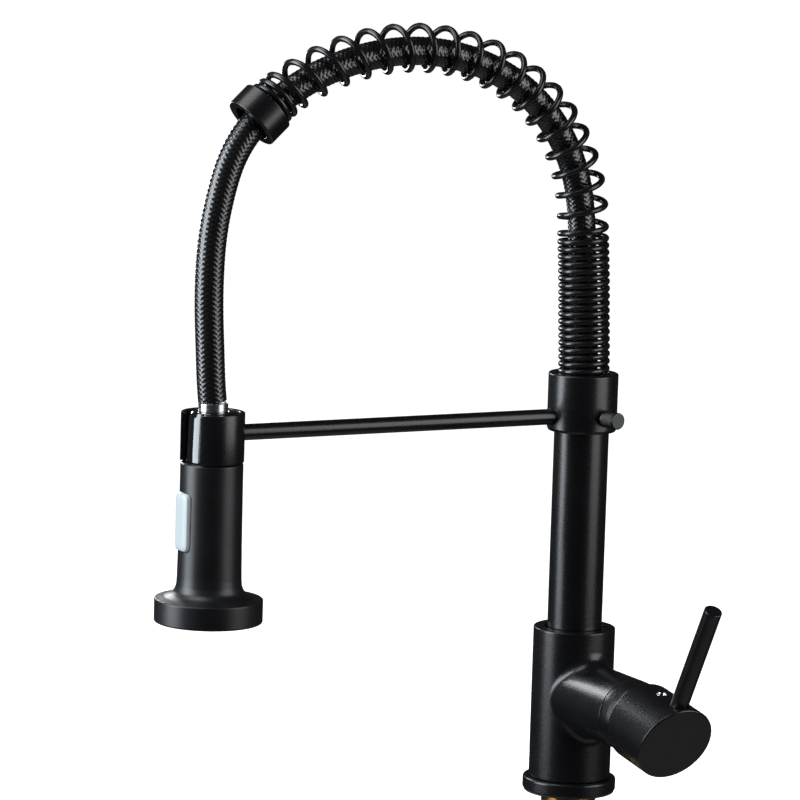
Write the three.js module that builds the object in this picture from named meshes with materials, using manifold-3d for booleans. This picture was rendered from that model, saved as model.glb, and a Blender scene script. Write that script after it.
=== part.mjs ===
// Pull down kitchen faucet with an open spring, in millimetres.
// The origin is on the deck at the body's axis. +Z is up.
// The spray head is towards -Y, the handle towards +X.
import * as THREE from "three";
import { mergeVertices } from "three/addons/utils/BufferGeometryUtils.js";
import Module from "manifold-3d";

const wasm = await Module();
wasm.setup();

const gap = 0.3; // clearance between neighbouring pieces
const fine = 36; // sides of a large turned piece
const plain = 24; // sides of a small turned piece
const coarse = 12; // sides of a hole or a screw

// Base and valve body
const gasketTop = 1.2;
const baseRingTop = 8.6;
const baseRingRadius = 27.4;
const bodyBottom = baseRingTop + gap;
const bodyTop = 98;
const bodyRadius = 24;
const shankRadius = 16.2;
const shankBore = 13;
const shankTop = 26;
const shankBottom = -60;
const deckThickness = 22;

// Branch, cartridge and handle
const branchZ = 58.6;
const branchEnd = 67.4;
const branchRadius = 21;
const branchBore = 18.2;
const cartridgeBase = 28;
const pivotX = 76;
const handleTilt = THREE.MathUtils.degToRad(8.5);
const faceTilt = THREE.MathUtils.degToRad(18.5);
const capRadius = 23.1;
const capRear = 5; // the cap's rear rim, from the pivot along the cap's axis
const capFace = 41.9; // the middle of the cap's end face, from the pivot
const leverFoot = [40, 20.5]; // the lever's foot: along the cap's axis from the pivot, and above it
const leverLean = THREE.MathUtils.degToRad(19.4);
const leverRadius = 5.15;
const leverLength = 71;
const plugAt = 21.5;

// Column, collar and docking arm
const columnRadius = 16;
const columnBore = 13.4;
const columnBottom = 84;
const columnTop = 240;
const topBore = 17.6; // the body's bore around the column
const collarBottom = 214.5;
const collarTop = 248.3;
const collarRadius = 20.4;
const collarRim = 15.6; // the collar's inner rim, around the foot of the spring
const armZ = 223.2;
const armRadius = 4.6;
const thumbZ = 223.9;
const thumbTurn = THREE.MathUtils.degToRad(10); // about Z, from +X towards +Y
const thumbRadius = 4.9;
const thumbNeck = 2.3;
const thumbHeadStart = 20.9;
const thumbEnd = 32.5;

// Spring and its end cap
const wireRadius = 1.8;
const springBottom = 246.3; // height of the wire's middle where it starts
const stepsPerTurn = 10;
// The pitch at some turns, the coil's radius and lean at some places along its middle line, with
// even changes in between. The lean moves the inner side of each turn ahead and the outer side back.
const pitchMarks = [[0, 4.22], [19.3, 4.22], [20.6, 13.2], [37.3, 15.6], [38.9, 4.5], [42.5, 4.22]];
const coilMarks = [[120, 13.3], [230, 12.35]];
const leanMarks = [[60, 0], [95, 0.5], [140, 0.6], [200, 1.95], [226, 1.7], [257, 0.7],
  [287, -0.8], [318, -1.5], [350, -0.9], [362, 0]];
const endCapRadius = 16.3;
const endCapLength = 14.5;
const endCapLip = 4; // thickness of the lip that holds the last coil

// Hose and spray head
const hoseRadius = 8.15;
const hoseSides = 12;
const hoseSteps = 56;
const headY = -238;
const ringBottom = 207.8;
const ringTop = 235.7;
const ringRadius = 18;
const ringBore = 15;
const slotFrom = THREE.MathUtils.degToRad(-21); // the slot's edges, from -Y towards +X
const slotTo = THREE.MathUtils.degToRad(40);
const neckTop = 236;
const shoulder = 207.4;
const flangeTop = 130;
const flangeBottom = 116.8;
const flangeRadius = 30.6;
const buttonBottom = 157.8;
const buttonTop = 190.7;
const buttonHalfWidth = 7.8;
const buttonGap = 0.5; // room for the rocking button in its window
const buttonPivot = 13.2; // the button's pin, from the head's axis towards the front

// Middle line of the hose as [y, z], from the connector in the column to the ferrule of the head
const hoseRoute = [
  [0, 100], [0, 150], [0, 194], [0, 238], [-0.1, 252.1], [-0.8, 272.1], [-1.8, 294],
  [-3.6, 317.9], [-5.4, 339.9], [-9.4, 361.2], [-17.8, 381.1], [-30.3, 398.8], [-46.2, 413.3],
  [-64.8, 424.3], [-85.2, 431.6], [-106.5, 435.4], [-128.3, 435.6], [-149.7, 432.3],
  [-170.5, 425.9], [-190.1, 416.7], [-204.7, 406.8], [-218.1, 394.9], [-229.5, 378.2],
  [-236.4, 357.8], [-240.6, 335.9], [-242.1, 314.1], [-242, 292.1], [-240.8, 270.2],
  [-239.4, 249.2], [-238.6, 241.8],
];

// Middle line of the coils as [y, z]: over the arch the hose lies on the coils' inner side
const coilRoute = [
  [0, 238], [0, 252], [-0.5, 268], [-1.1, 280], [-1.7, 297], [-3.1, 320], [-4, 334],
  [-5.2, 347.8], [-9.9, 367.1], [-19.4, 387], [-33, 404.3], [-50, 418.1], [-69.4, 428.3],
  [-90.5, 434.7], [-112.4, 437.6], [-134.4, 436.8], [-156, 432.6], [-176.7, 425.3],
  [-196.2, 415.1], [-208.9, 405.6], [-219.3, 396.2],
];

const colours = {
  matteBlack: { color: 0x17181a, roughness: 0.55, metalness: 0.35 },
  glossBlack: { color: 0x08090a, roughness: 0.18, metalness: 0.2 },
  braid: { color: 0x101113, roughness: 0.75, metalness: 0 },
  steel: { color: 0xb9bcc0, roughness: 0.3, metalness: 1 },
  chrome: { color: 0xd7d9dc, roughness: 0.1, metalness: 1 },
  brass: { color: 0xb58e4a, roughness: 0.35, metalness: 1 },
  ceramic: { color: 0xe9e6dd, roughness: 0.25, metalness: 0 },
  rubber: { color: 0x1d1d1f, roughness: 0.85, metalness: 0 },
  plastic: { color: 0x4a4c50, roughness: 0.5, metalness: 0 },
  button: { color: 0xb3c0c6, roughness: 0.4, metalness: 0 },
  silicone: { color: 0x5c6064, roughness: 0.7, metalness: 0 },
};

function named(name, geometry, finish) {
  const mesh = new THREE.Mesh(geometry, new THREE.MeshStandardMaterial(colours[finish]));
  mesh.name = name;
  return mesh;
}

// A closed profile of [radius, height] points turned about Z.
function turned(profile, sides) {
  const points = profile.map(([r, z]) => new THREE.Vector2(r, z));
  const closed = points[0].x === 0 && points.at(-1).x === 0;
  if (!closed) points.push(points[0].clone());
  const area = points.reduce((sum, p, i) => sum + p.cross(points[(i + 1) % points.length]), 0);
  if (area < 0) points.reverse();
  const geometry = new THREE.LatheGeometry(points, sides);
  geometry.rotateX(Math.PI / 2);
  return geometry;
}

// A tube along Z with a small chamfer at both outer edges.
function tube(outer, inner, bottom, top, sides, chamfer = 0) {
  if (chamfer === 0) {
    return turned([[inner, bottom], [outer, bottom], [outer, top], [inner, top]], sides);
  }
  const profile = [
    [inner, bottom], [outer - chamfer, bottom], [outer, bottom + chamfer],
    [outer, top - chamfer], [outer - chamfer, top], [inner, top],
  ];
  return turned(profile, sides);
}

function rod(radius, bottom, top, sides, chamfer = 0) {
  if (chamfer === 0) {
    return turned([[0, bottom], [radius, bottom], [radius, top], [0, top]], sides);
  }
  const profile = [
    [0, bottom], [radius - chamfer, bottom], [radius, bottom + chamfer],
    [radius, top - chamfer], [radius - chamfer, top], [0, top],
  ];
  return turned(profile, sides);
}

function box(x0, x1, y0, y1, z0, z1) {
  const geometry = new THREE.BoxGeometry(x1 - x0, y1 - y0, z1 - z0);
  return geometry.translate((x0 + x1) / 2, (y0 + y1) / 2, (z0 + z1) / 2);
}

function alongX(geometry, z = 0) {
  return geometry.rotateY(Math.PI / 2).translate(0, 0, z);
}

function solid(geometry) {
  const bare = geometry.clone();
  bare.deleteAttribute("normal");
  bare.deleteAttribute("uv");
  const merged = mergeVertices(bare, 1e-4);
  return new wasm.Manifold(new wasm.Mesh({
    numProp: 3,
    vertProperties: new Float32Array(merged.attributes.position.array),
    triVerts: new Uint32Array(merged.index.array),
  }));
}

function geometryOf(body) {
  const mesh = body.getMesh();
  const geometry = new THREE.BufferGeometry();
  geometry.setAttribute("position", new THREE.BufferAttribute(mesh.vertProperties, 3));
  geometry.setIndex(new THREE.BufferAttribute(mesh.triVerts, 1));
  const flat = geometry.toNonIndexed();
  flat.computeVertexNormals();
  return flat;
}

function cut(geometry, ...tools) {
  return geometryOf(tools.reduce((body, tool) => body.subtract(solid(tool)), solid(geometry)));
}

function join(geometry, ...others) {
  return geometryOf(others.reduce((body, other) => body.add(solid(other)), solid(geometry)));
}

// The body stands on the base ring. The branch leaves it with a flared root.
function valveBody() {
  const post = rod(bodyRadius, bodyBottom, bodyTop, fine, 0.6);
  const flare = [[0, 0], [branchRadius + 3, 14], [branchRadius + 1.9, 20], [branchRadius + 0.8, 24],
    [branchRadius + 0.2, 28], [branchRadius, 32], [branchRadius, branchEnd], [0, branchEnd]];
  const branch = alongX(turned(flare, fine), branchZ);
  const ports = [];
  for (const side of [-1, 1]) {
    ports.push(alongX(rod(4, 9, cartridgeBase + 1, coarse), 50).translate(0, side * 8, 0));
    ports.push(rod(4, shankTop, 50, coarse).translate(12, side * 8, 0));
  }
  const outlet = alongX(rod(4.5, 8, cartridgeBase + 1, coarse), 68);
  const riser = rod(4.5, 68, columnBottom, coarse).translate(10, 0, 0);
  const chamber = alongX(rod(branchBore, cartridgeBase, branchEnd + 1, fine), branchZ);
  const topHole = rod(topBore, columnBottom - 4, bodyTop + 1, fine);
  const bottomHole = rod(shankRadius + gap, bodyBottom - 1, shankTop + gap, fine);
  const screwHole = rod(3.3, 0, bodyRadius + 5, coarse).rotateX(-Math.PI / 2).translate(0, 0, 90);
  return cut(join(post, branch), chamber, topHole, bottomHole, screwHole, outlet, riser, ...ports);
}

function mountingNut() {
  const acrossCorners = 25;
  const top = -deckThickness - 5.8;
  const hex = new THREE.CylinderGeometry(acrossCorners, acrossCorners, 11, 6);
  hex.rotateX(Math.PI / 2).translate(0, 0, top - 5.5);
  return cut(hex, rod(shankRadius + gap, top - 12, top + 1, fine));
}

function addBase(group) {
  const gasket = tube(26.6, 17.2, 0, gasketTop, fine);
  const ring = tube(baseRingRadius, 16.8, gasketTop + gap, baseRingTop, fine, 0.8);
  const shank = tube(shankRadius, shankBore, shankBottom, shankTop, fine, 0.8);
  const rubberTop = -deckThickness;
  const steelTop = rubberTop - 3 - gap;
  const screw = rod(3, 16.2, 22.6, coarse, 0.4).rotateX(-Math.PI / 2).translate(0, 0, 90);
  group.add(named("base_gasket", gasket, "rubber"));
  group.add(named("base_ring", ring, "matteBlack"));
  group.add(named("valve_body", valveBody(), "matteBlack"));
  group.add(named("mounting_shank", shank, "brass"));
  group.add(named("clamp_rubber_washer", tube(26, 16.6, rubberTop - 3, rubberTop, fine), "rubber"));
  group.add(named("clamp_steel_washer", tube(26, 16.6, steelTop - 2, steelTop, fine), "steel"));
  group.add(named("mounting_nut", mountingNut(), "brass"));
  group.add(named("column_set_screw", screw, "steel"));
}

function addSwivel(group) {
  const inner = columnRadius + gap;
  const outer = topBore - gap;
  group.add(named("swivel_bush_lower", tube(outer, inner, 80.4, 85.2, plain), "plastic"));
  group.add(named("swivel_seal", tube(outer, inner, 85.6, 86.4, plain), "rubber"));
  group.add(named("swivel_bush_upper", tube(outer, inner, 93.6, 95, plain), "plastic"));
}

// The cartridge lies along the branch: its base towards the body, its stem towards the handle.
function addCartridge(group) {
  const onAxis = (geometry) => alongX(geometry, branchZ);
  const housing = [[5, 31], [17.2, 31], [17.2, 61], [12.6, 61], [12.6, 73.5], [10.6, 73.5],
    [10.6, 59], [14.5, 59], [14.5, 48.7], [5, 48.7]];
  const bonnet = [[13, 67.7], [21, 67.7], [20.9, 71], [20.5, 74.5], [19.8, 78], [18.4, 82],
    [16.4, 85], [14.5, 86], [13, 86]];
  const seal = tube(16.8, 11.5, cartridgeBase + gap, cartridgeBase + 2.6, plain);
  const ports = [0, 1, 2].map((i) => {
    const angle = (i * 2 * Math.PI) / 3;
    return rod(3, 48, 54, coarse).translate(-7 * Math.cos(angle), 7 * Math.sin(angle), 0);
  });
  const fixedDisc = cut(rod(14.1, 49, 52.6, plain), ...ports);
  const hood = [[7.4, 57.4], [13.8, 57.4], [13.8, 58.6], [10.2, 58.6], [10.2, 79], [7.4, 79]];
  const pinHole = rod(1.9, -11, 11, coarse).rotateX(Math.PI / 2).translate(pivotX, 0, branchZ);
  const pin = rod(1.6, -10, 10, coarse).rotateX(Math.PI / 2).translate(pivotX, 0, branchZ);
  const moving = cut(rod(9.3, 52.9, 57, plain), rod(3, 54.4, 58, coarse));
  group.add(named("cartridge_seal", onAxis(seal), "rubber"));
  group.add(named("cartridge_housing", onAxis(turned(housing, plain)), "plastic"));
  group.add(named("cartridge_fixed_disc", onAxis(fixedDisc), "ceramic"));
  group.add(named("cartridge_nut", onAxis(tube(17.9, 12.9, 61.3, 66.5, plain)), "brass"));
  group.add(named("bonnet", onAxis(turned(bonnet, fine)), "matteBlack"));
  group.add(named("cartridge_rotor", cut(onAxis(turned(hood, plain)), pinHole), "plastic"));
  group.add(named("cartridge_pin", pin, "steel"));
  group.add(named("cartridge_moving_disc", onAxis(moving), "ceramic"));
}

// Everything here is drawn along the cap's own axis from the pivot, then tilted down with it.
function addHandle(group) {
  const handle = new THREE.Group();
  handle.position.set(pivotX, 0, branchZ);
  handle.rotation.y = handleTilt;
  const stemHole = rod(2, -6, 6, coarse).rotateX(Math.PI / 2);
  const tail = alongX(rod(2.2, -20.8, -3, coarse)).rotateY(-handleTilt);
  const stem = cut(join(box(-5, 26, -3.6, 3.6, -3.6, 3.6), tail), stemHole);
  const barrel = [[20.4, capRear], [22.3, capRear], [capRadius, capRear + 0.8],
    [capRadius, 60], [0, 60], [0, 24], [20.4, 20]];
  const slant = box(0, 60, -40, 40, -60, 60).rotateY(faceTilt).translate(capFace, 0, 0);
  const [footX, footZ] = leverFoot;
  const leverHole = rod(leverRadius + gap, 0, 30, plain).rotateY(leverLean);
  leverHole.translate(footX, 0, footZ).translate(-gap * Math.sin(leverLean), 0, -gap * Math.cos(leverLean));
  const socket = box(16, 26.4, -3.9, 3.9, -3.9, 3.9);
  const boss = alongX(rod(8, 17, 30, plain));
  const screwHole = rod(2.8, 3, 17, coarse).translate(plugAt, 0, 0);
  const plugHole = rod(3.7, 17, 30, coarse).translate(plugAt, 0, 0);
  const cap = cut(join(alongX(turned(barrel, fine)), boss), slant, leverHole, socket, screwHole,
    plugHole);
  const lever = rod(leverRadius, 0, leverLength, plain, 0.5).rotateY(leverLean);
  lever.translate(footX, 0, footZ);
  handle.add(named("cartridge_stem", stem, "brass"));
  handle.add(named("handle_cap", cap, "matteBlack"));
  handle.add(named("handle_lever", lever, "matteBlack"));
  const setScrew = rod(2.5, 4.2, 12, coarse).translate(plugAt, 0, 0);
  handle.add(named("handle_set_screw", setScrew, "steel"));
  const plug = turned([[0, 18], [3.4, 18], [3.4, 22.9], [2.5, 22.9], [1.9, 22.2], [0, 22.2]], coarse);
  handle.add(named("handle_plug", plug.translate(plugAt, 0, 0), "chrome"));
  group.add(handle);
}

// The collar closes over the column's top, so it rests on the tube's end.
function addColumn(group) {
  const column = tube(columnRadius, columnBore, columnBottom + 2.4, columnTop, fine, 0.4);
  const collarProfile = [[columnRadius + gap, collarBottom], [19.9, collarBottom],
    [collarRadius, collarBottom + 1.2], [collarRadius, collarTop - 0.6],
    [collarRadius - 0.6, collarTop], [collarRim, collarTop], [collarRim, columnTop + gap],
    [columnRadius + gap, columnTop + gap]];
  const thumbHole = alongX(rod(thumbNeck + gap, 10, 30, coarse), thumbZ).rotateZ(thumbTurn);
  const armHole = rod(armRadius + gap, 18, 30, coarse).rotateX(Math.PI / 2).translate(0, 0, armZ);
  const collar = cut(turned(collarProfile, fine), thumbHole, armHole);
  const seat = [[8.9, 226], [13.1, 226], [13.1, columnTop + 0.2], [15.2, columnTop + 0.6],
    [15.2, 244.2], [8.9, 244.2]];
  const connector = [[4, 87], [9, 87], [9, 92], [5.6, 94], [5.6, 99.6], [4, 99.6]];
  group.add(named("column_tube", column, "matteBlack"));
  group.add(named("arm_collar", collar, "matteBlack"));
  group.add(named("spring_seat", turned(seat, plain), "plastic"));
  group.add(named("hose_connector", turned(connector, coarse), "brass"));
}

function thumbScrew() {
  const edge = 0.5;
  const profile = [[0, 16.6], [thumbNeck, 16.6], [thumbNeck, thumbHeadStart],
    [thumbRadius - edge, thumbHeadStart], [thumbRadius, thumbHeadStart + edge],
    [thumbRadius, thumbEnd - edge], [thumbRadius - edge, thumbEnd], [0, thumbEnd]];
  return named("thumb_screw", alongX(turned(profile, plain), thumbZ).rotateZ(thumbTurn), "matteBlack");
}

// The docking ring is open at the front, so the hose passes through the slot sideways.
function addDock(group) {
  const arm = rod(armRadius, 18.6, -headY - 16.4, plain).rotateX(Math.PI / 2).translate(0, 0, armZ);
  const armHole = rod(armRadius + gap, 16, 30, plain).rotateX(-Math.PI / 2).translate(0, 0, armZ);
  const ring = tube(ringRadius, ringBore, ringBottom, ringTop, fine, 0.5);
  const sector = new THREE.Shape([new THREE.Vector2(0, 0)]);
  for (const angle of [slotFrom, (slotFrom + slotTo) / 2, slotTo]) {
    sector.lineTo(2 * ringRadius * Math.sin(angle), -2 * ringRadius * Math.cos(angle));
  }
  const slot = new THREE.ExtrudeGeometry(sector, { depth: ringTop - ringBottom + 2, bevelEnabled: false });
  slot.translate(0, 0, ringBottom - 1);
  group.add(named("docking_arm", arm, "matteBlack"));
  group.add(named("docking_ring", cut(ring, slot, armHole).translate(0, headY, 0), "matteBlack"));
}

function routeCurve(route) {
  const curve = new THREE.CatmullRomCurve3(route.map(([y, z]) => new THREE.Vector3(0, y, z)));
  curve.arcLengthDivisions = 600;
  return curve;
}

// Reads a table of [place, value] pairs, with straight lines between them.
function readMarks(marks, place) {
  const next = marks.findIndex(([at]) => at > place);
  if (next === 0) return marks[0][1];
  if (next < 0) return marks.at(-1)[1];
  const [from, before] = marks[next - 1];
  const [to, after] = marks[next];
  return THREE.MathUtils.mapLinear(place, from, to, before, after);
}

// The wire's middle line: close wound, then open over the arch, then closed up again.
class CoilCurve extends THREE.Curve {
  constructor() {
    super();
    this.axis = routeCurve(coilRoute);
    this.axisLength = this.axis.getLength();
    this.turns = pitchMarks.at(-1)[0];
    this.arcLengthDivisions = 8000;
  }

  // The distance along the coils' middle line at a turn is the sum of the pitch up to it.
  distance(turn) {
    let place = springBottom - coilRoute[0][1];
    for (let i = 1; i < pitchMarks.length; i += 1) {
      const [from, before] = pitchMarks[i - 1];
      const [to, after] = pitchMarks[i];
      const part = THREE.MathUtils.clamp(turn - from, 0, to - from);
      place += part * (before + ((after - before) * part) / (2 * (to - from)));
    }
    return place;
  }

  getPoint(t) {
    const turn = t * this.turns;
    const place = this.distance(turn);
    const centre = this.axis.getPointAt(place / this.axisLength);
    const ahead = this.axis.getTangentAt(place / this.axisLength);
    const side = new THREE.Vector3(1, 0, 0);
    const out = new THREE.Vector3().crossVectors(side, ahead);
    const angle = -2 * Math.PI * turn;
    const radius = readMarks(coilMarks, place);
    centre.addScaledVector(side, radius * Math.cos(angle));
    centre.addScaledVector(out, radius * Math.sin(angle));
    return centre.addScaledVector(ahead, readMarks(leanMarks, place) * Math.sin(angle));
  }
}

function swept(curve, radius, sides, steps) {
  const outline = [];
  for (let i = 0; i < sides; i += 1) {
    const angle = (2 * Math.PI * i) / sides;
    outline.push(new THREE.Vector2(radius * Math.cos(angle), radius * Math.sin(angle)));
  }
  return new THREE.ExtrudeGeometry(new THREE.Shape(outline), { steps, extrudePath: curve });
}

// The cap holds the spring's last coils behind a lip and leaves a wide mouth for the hose.
function endCap(coil) {
  const profile = [[14.9, -endCapLength], [endCapRadius - 1, -endCapLength],
    [endCapRadius, 1 - endCapLength], [endCapRadius, -0.8], [endCapRadius - 0.8, 0], [11.4, 0],
    [11.4, gap - endCapLip], [14.9, gap - endCapLip]];
  const geometry = turned(profile, fine);
  const along = coil.axis.getTangentAt(1);
  const turn = new THREE.Quaternion().setFromUnitVectors(new THREE.Vector3(0, 0, 1), along);
  geometry.applyQuaternion(turn).translate(...coil.axis.getPointAt(1).toArray());
  return named("spring_end_cap", geometry, "matteBlack");
}

function addSpring(group) {
  const coil = new CoilCurve();
  const spring = swept(coil, wireRadius, 6, Math.round(coil.turns * stepsPerTurn));
  group.add(named("support_spring", spring, "matteBlack"));
  group.add(endCap(coil));
  group.add(named("spray_hose", swept(routeCurve(hoseRoute), hoseRadius, hoseSides, hoseSteps), "braid"));
}

function headShell() {
  const profile = [[11.5, shoulder], [16.8, shoulder], [17.65, shoulder - 0.9], [17.7, 190], [17.9, 160],
    [18.2, 140], [18.6, 137], [19.8, 134.6], [21.8, 132.6], [24.8, 131.2], [28.5, 130.4],
    [flangeRadius - 0.6, flangeTop], [flangeRadius, flangeTop - 0.7], [flangeRadius, flangeBottom + 0.9],
    [flangeRadius - 0.9, flangeBottom], [28.4, flangeBottom], [28.4, 126.4], [14.6, 128.6],
    [14.6, 200], [11.5, 202]];
  const halfWidth = buttonHalfWidth + gap;
  const window = box(-halfWidth, halfWidth, -25, -10, buttonBottom - buttonGap, buttonTop + buttonGap);
  return cut(turned(profile, fine), window, buttonPin(1.5, 9.3));
}

function buttonPin(radius, halfLength) {
  const pin = rod(radius, -halfLength, halfLength, coarse);
  return pin.rotateY(Math.PI / 2).translate(0, -buttonPivot, (buttonTop + buttonBottom) / 2);
}

// A long plate with rounded ends whose front follows the shell and stands a little proud of it.
function sprayButton() {
  const outline = new THREE.Shape();
  const corner = 3;
  const half = (buttonTop - buttonBottom) / 2;
  outline.absarc(buttonHalfWidth - corner, half - corner, corner, 0, Math.PI / 2);
  outline.absarc(corner - buttonHalfWidth, half - corner, corner, Math.PI / 2, Math.PI);
  outline.absarc(corner - buttonHalfWidth, corner - half, corner, Math.PI, 1.5 * Math.PI);
  outline.absarc(buttonHalfWidth - corner, corner - half, corner, 1.5 * Math.PI, 2 * Math.PI);
  const plate = new THREE.ExtrudeGeometry(outline, { depth: 9, bevelEnabled: false, curveSegments: 5 });
  plate.rotateX(Math.PI / 2).translate(0, -11, (buttonTop + buttonBottom) / 2);
  const front = rod(19.9, buttonBottom - 5, buttonTop + 5, fine);
  return geometryOf(solid(plate).intersect(solid(front)).subtract(solid(buttonPin(1.5, 12))));
}

function addHead(group) {
  const neckProfile = [[5, 203], [11.2, 203], [11.2, shoulder + gap], [14.4, shoulder + gap],
    [14.4, 212], [13.6, 233], [12.4, neckTop - 1], [11.8, neckTop], [8.7, neckTop], [8.7, 221], [5, 221]];
  const ferrule = tube(8.35, 4, 226, 240.8, plain, 0.3);
  const washer = tube(8.3, 4, 222, 225.6, plain);
  const core = [[5.2, 126], [8.6, 126], [8.6, 196], [10.9, 196], [10.9, 202.6], [5.2, 202.6]];
  const nozzles = tube(27.2, 13.4, 122.8, 124, fine);
  const plate = tube(28.1, 10.4, 117.6, 121.4, fine, 0.5);
  const spread = [[8.9, 125.6], [13, 127.4], [13, 124.6], [26, 124.6], [26, 124.4], [8.9, 124.4]];
  const spool = [[0, 150], [4.8, 150], [4.8, 153], [3, 153], [3, 160], [4.8, 160], [4.8, 163], [0, 163]];
  const aerator = turned([[6, 117.2], [10, 117.2], [10, 123.6], [6, 123.6]], plain);
  const parts = [
    named("head_neck", turned(neckProfile, plain), "glossBlack"),
    named("hose_ferrule", ferrule, "steel"),
    named("neck_washer", washer, "rubber"),
    named("head_shell", headShell(), "matteBlack"),
    named("head_core", turned(core, coarse), "plastic"),
    named("face_plate", plate, "plastic"),
    named("nozzle_mat", nozzles, "silicone"),
    named("flow_spreader", turned(spread, plain), "plastic"),
    named("aerator", aerator, "plastic"),
    named("button_pin", buttonPin(1.2, 9), "steel"),
    named("check_valve", tube(4.9, 2.4, 190, 198, coarse), "plastic"),
    named("spray_button", sprayButton(), "button"),
    named("diverter_spool", turned(spool, coarse), "brass"),
  ];
  for (const part of parts) {
    part.geometry.translate(0, headY, 0);
    group.add(part);
  }
}

function faucet() {
  const group = new THREE.Group();
  group.name = "pull_down_kitchen_faucet";
  addBase(group);
  addSwivel(group);
  addCartridge(group);
  addHandle(group);
  addColumn(group);
  group.add(thumbScrew());
  addDock(group);
  addSpring(group);
  addHead(group);
  return group;
}

export default faucet();
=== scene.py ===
import math

import bmesh
import bpy
import numpy as np
from mathutils import Matrix, Vector


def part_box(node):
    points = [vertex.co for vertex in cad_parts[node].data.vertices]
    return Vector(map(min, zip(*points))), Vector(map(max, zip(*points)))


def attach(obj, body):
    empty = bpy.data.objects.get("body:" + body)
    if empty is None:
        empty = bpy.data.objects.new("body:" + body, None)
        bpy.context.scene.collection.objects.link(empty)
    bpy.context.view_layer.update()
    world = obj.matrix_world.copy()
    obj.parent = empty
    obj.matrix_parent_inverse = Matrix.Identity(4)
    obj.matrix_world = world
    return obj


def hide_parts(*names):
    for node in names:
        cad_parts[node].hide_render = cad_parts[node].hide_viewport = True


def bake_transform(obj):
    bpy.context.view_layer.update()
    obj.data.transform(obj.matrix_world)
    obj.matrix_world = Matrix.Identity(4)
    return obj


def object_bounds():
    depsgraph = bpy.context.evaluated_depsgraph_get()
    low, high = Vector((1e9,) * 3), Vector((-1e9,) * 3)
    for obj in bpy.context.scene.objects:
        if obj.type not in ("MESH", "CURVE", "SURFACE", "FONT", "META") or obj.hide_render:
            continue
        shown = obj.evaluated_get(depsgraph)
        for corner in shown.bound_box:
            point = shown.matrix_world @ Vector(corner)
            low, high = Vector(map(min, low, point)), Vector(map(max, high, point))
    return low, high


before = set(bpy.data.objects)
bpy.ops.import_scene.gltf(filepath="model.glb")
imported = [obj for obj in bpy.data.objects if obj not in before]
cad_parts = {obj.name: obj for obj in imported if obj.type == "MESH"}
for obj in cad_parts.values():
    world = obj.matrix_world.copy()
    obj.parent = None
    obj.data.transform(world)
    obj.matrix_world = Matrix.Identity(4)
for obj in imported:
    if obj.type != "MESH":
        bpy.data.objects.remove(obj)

# Lengths are in millimetres until a mesh is filled, then in metres. The origin is on the deck at the
# body's axis, +Z is up, the spray head lies towards -Y and the handle towards +X.
mm = 0.001
cadBox = [list(corner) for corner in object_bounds()]
print("frame loaded,", len(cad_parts), "nodes")


camera = {
    "place": (2.20233, -1.29138, 0.60729), "azimuth": 62, "elevation": 8.439, "roll": 1.734,
    "lens": 199.29, "sensor": 36, "clip": (0.05, 60),
}


# The camera looks along -back, and its right and up are turned about back by the roll.
def setCamera(c):
    a, e, r = (math.radians(c[k]) for k in ("azimuth", "elevation", "roll"))
    back = Vector((math.sin(a) * math.cos(e), -math.cos(a) * math.cos(e), math.sin(e)))
    level = Vector((math.cos(a), math.sin(a), 0))
    tall = back.cross(level)
    right = level * math.cos(r) + tall * math.sin(r)
    up = tall * math.cos(r) - level * math.sin(r)
    data = bpy.data.cameras.new("studioCamera")
    data.lens = c["lens"]
    data.sensor_width = c["sensor"]
    data.clip_start, data.clip_end = c["clip"]
    eye = bpy.data.objects.new("studioCamera", data)
    eye.matrix_world = Matrix.Translation(c["place"]) @ Matrix((right, up, back)).transposed().to_4x4()
    bpy.context.scene.collection.objects.link(eye)
    bpy.context.scene.camera = eye


setCamera(camera)
print("camera set")

# A shape is a pair of arrays: its points, and its faces with four point indices each.

# One face for each cell of a rows by columns grid; a wrapped side joins its last line to its first.
def gridFaces(rows, columns, wrapRows, wrapColumns):
    i = np.arange(rows if wrapRows else rows - 1)[:, None]
    j = np.arange(columns if wrapColumns else columns - 1)[None, :]
    nextI, nextJ = (i + 1) % rows, (j + 1) % columns
    corners = [i * columns + j, nextI * columns + j, nextI * columns + nextJ, i * columns + nextJ]
    return np.stack([c + 0 * (i + j) for c in corners], axis=-1).reshape(-1, 4)


# A grid of points as a shape.
def gridOf(points, wrapRows=False, wrapColumns=False):
    return points.reshape(-1, 3), gridFaces(*points.shape[:2], wrapRows, wrapColumns)


# Rings round a line's places as a tube, whose two ends close on the line.
def tubeOf(middle, rings):
    ends = middle[[0, -1], None] + 0 * rings[:1]
    return gridOf(np.concatenate([ends[:1], middle[:, None] + rings, ends[1:]]), False, True)


# Evenly spaced angles once round.
def anglesOf(count):
    return np.arange(count) * 2 * np.pi / count


# Points at radius r, angle a about Z and height z: (r cos a, r sin a, z).
def around(r, a, z):
    r, a, z = np.broadcast_arrays(r, a, z)
    return np.stack([r * np.cos(a), r * np.sin(a), z], axis=-1)


# Turns evenly from u to v, which lie w apart: (u sin((1 - t) w) + v sin(t w)) / sin w.
def swept(u, v, w, t):
    return (np.sin((1 - t) * w) * u + np.sin(t * w) * v) / np.sin(w)


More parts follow.
